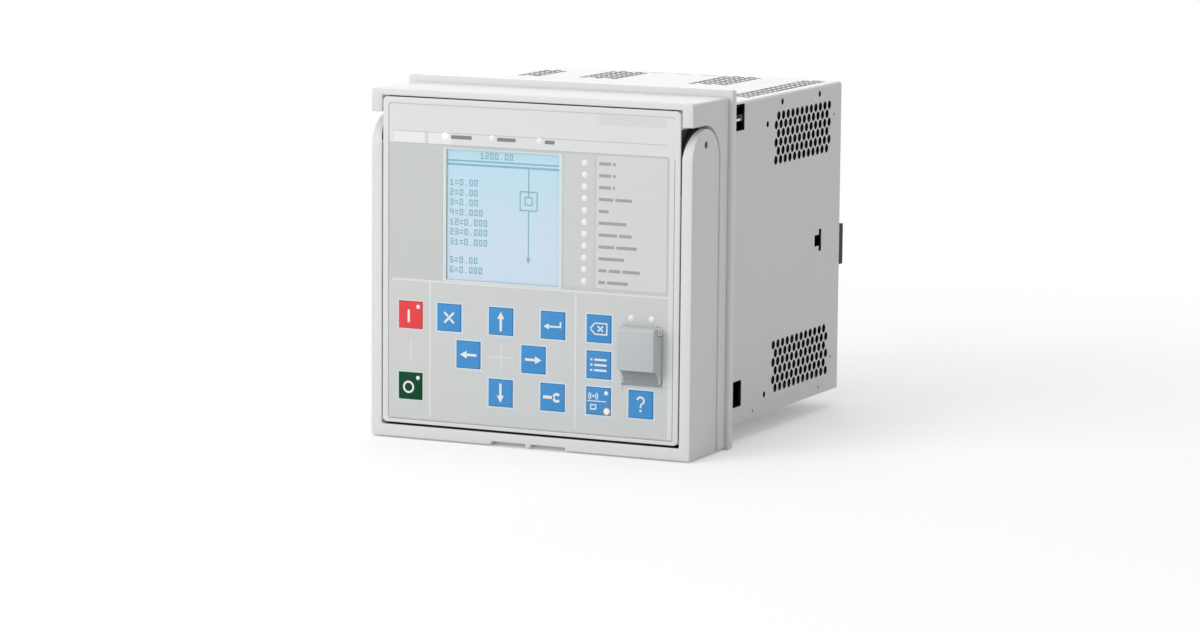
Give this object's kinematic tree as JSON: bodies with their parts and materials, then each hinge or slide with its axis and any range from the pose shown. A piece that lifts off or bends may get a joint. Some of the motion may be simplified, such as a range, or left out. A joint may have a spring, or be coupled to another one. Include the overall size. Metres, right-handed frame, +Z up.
{
  "type": "protection relay",
  "caption": "Withdrawable protection relay for flush panel mounting: perforated sheet case, square frame, display, push keys, alarm lights and a bail handle",
  "frame": {"origin": "centre of the mounting frame's rear face, the face that meets the panel", "axes": "+X to the right seen from the front, +Y into the panel towards the terminals, +Z up"},
  "size_m": [0.177, 0.222, 0.177],
  "materials": {
    "frame_paint": "light grey powder coat",
    "case_paint": "light grey satin coat",
    "zinc_steel": "zinc plated",
    "black_plastic": "fine moulded texture",
    "brass": "plain turned",
    "shell_plastic": "fine spark-eroded texture",
    "seal_rubber": "foam seal",
    "overlay_film": "satin polyester film",
    "clear_window": "clear",
    "display": "backlit liquid crystal",
    "board_green": "solder mask",
    "light_pipe": "milky clear",
    "port_shield": "tin plated",
    "dark_steel": "black passivated sheet",
    "ferrite": "sintered",
    "capacitor_sleeve": "shrink sleeve",
    "relay_amber": "sealed cover",
    "copper_winding": "enamelled wire",
    "cover_plastic": "soft moulded",
    "key_blue": "embossed film",
    "key_red": "embossed film",
    "key_green": "embossed film"
  },
  "bodies": {
    "case": {"mounting_frame": "frame_paint", "case_wrap": "case_paint", "case_floor": "case_paint", "rear_panel": "case_paint", "guide_rails": "zinc_steel", "frame_screws": "zinc_steel", "case_screws": "case_paint", "signal_terminals": "black_plastic", "measuring_terminals": "black_plastic", "terminal_screws": "zinc_steel", "port_plate": "zinc_steel", "rear_port": "black_plastic", "earth_stud": "brass", "earth_nut": "zinc_steel"},
    "plug_in_unit": {"front_housing": "shell_plastic", "front_gasket": "seal_rubber", "front_panel": "shell_plastic", "front_overlay": "overlay_film", "display_window": "clear_window", "display_module": "display", "front_board": "board_green", "alarm_leds": "light_pipe", "indicator_leds": "light_pipe", "key_switches": "black_plastic", "front_port": "port_shield", "handle_pivots": "zinc_steel", "board_screws": "zinc_steel", "chassis": "dark_steel", "board_combs": "black_plastic", "processor_board": "board_green", "processor_chips": "black_plastic", "supply_board": "board_green", "supply_transformer": "ferrite", "supply_capacitors": "capacitor_sleeve", "output_board": "board_green", "output_relays": "relay_amber", "measuring_board": "board_green", "current_transformers": "copper_winding", "board_connectors": "black_plastic", "chassis_screws": "zinc_steel", "hinge_pin": "zinc_steel"},
    "handle": {"handle": "shell_plastic"},
    "port_cover": {"port_cover": "cover_plastic"},
    "key_close": {"key_close": "key_red"},
    "key_open": {"key_open": "key_green"},
    "key_escape": {"key_escape": "key_blue"},
    "key_left": {"key_left": "key_blue"},
    "key_up": {"key_up": "key_blue"},
    "key_down": {"key_down": "key_blue"},
    "key_right": {"key_right": "key_blue"},
    "key_enter": {"key_enter": "key_blue"},
    "key_settings": {"key_settings": "key_blue"},
    "key_clear": {"key_clear": "key_blue"},
    "key_menu": {"key_menu": "key_blue"},
    "key_local": {"key_local": "key_blue"},
    "key_help": {"key_help": "key_blue"}
  },
  "joints": [
    {"name": "unit_slide", "type": "slide", "parent": "case", "child": "plug_in_unit", "axis": [0, -1, 0], "range_m": [0, 0.12]},
    {"name": "handle_swing", "type": "hinge", "parent": "plug_in_unit", "child": "handle", "pos_m": [0, -0.032, 0.056], "axis": [-1, 0, 0], "range_deg": [0, 90]},
    {"name": "port_cover_swing", "type": "hinge", "parent": "plug_in_unit", "child": "port_cover", "pos_m": [0.061, -0.0501, -0.0255], "axis": [-1, 0, 0], "range_deg": [0, 90]},
    {"name": "key_close_press", "type": "slide", "parent": "plug_in_unit", "child": "key_close", "axis": [0, 1, 0], "range_m": [0, 0.0005], "stiffness_N_per_m": 300},
    {"name": "key_open_press", "type": "slide", "parent": "plug_in_unit", "child": "key_open", "axis": [0, 1, 0], "range_m": [0, 0.0005], "stiffness_N_per_m": 300},
    {"name": "key_escape_press", "type": "slide", "parent": "plug_in_unit", "child": "key_escape", "axis": [0, 1, 0], "range_m": [0, 0.0005], "stiffness_N_per_m": 300},
    {"name": "key_left_press", "type": "slide", "parent": "plug_in_unit", "child": "key_left", "axis": [0, 1, 0], "range_m": [0, 0.0005], "stiffness_N_per_m": 300},
    {"name": "key_up_press", "type": "slide", "parent": "plug_in_unit", "child": "key_up", "axis": [0, 1, 0], "range_m": [0, 0.0005], "stiffness_N_per_m": 300},
    {"name": "key_down_press", "type": "slide", "parent": "plug_in_unit", "child": "key_down", "axis": [0, 1, 0], "range_m": [0, 0.0005], "stiffness_N_per_m": 300},
    {"name": "key_right_press", "type": "slide", "parent": "plug_in_unit", "child": "key_right", "axis": [0, 1, 0], "range_m": [0, 0.0005], "stiffness_N_per_m": 300},
    {"name": "key_enter_press", "type": "slide", "parent": "plug_in_unit", "child": "key_enter", "axis": [0, 1, 0], "range_m": [0, 0.0005], "stiffness_N_per_m": 300},
    {"name": "key_settings_press", "type": "slide", "parent": "plug_in_unit", "child": "key_settings", "axis": [0, 1, 0], "range_m": [0, 0.0005], "stiffness_N_per_m": 300},
    {"name": "key_clear_press", "type": "slide", "parent": "plug_in_unit", "child": "key_clear", "axis": [0, 1, 0], "range_m": [0, 0.0005], "stiffness_N_per_m": 300},
    {"name": "key_menu_press", "type": "slide", "parent": "plug_in_unit", "child": "key_menu", "axis": [0, 1, 0], "range_m": [0, 0.0005], "stiffness_N_per_m": 300},
    {"name": "key_local_press", "type": "slide", "parent": "plug_in_unit", "child": "key_local", "axis": [0, 1, 0], "range_m": [0, 0.0005], "stiffness_N_per_m": 300},
    {"name": "key_help_press", "type": "slide", "parent": "plug_in_unit", "child": "key_help", "axis": [0, 1, 0], "range_m": [0, 0.0005], "stiffness_N_per_m": 300}
  ]
}
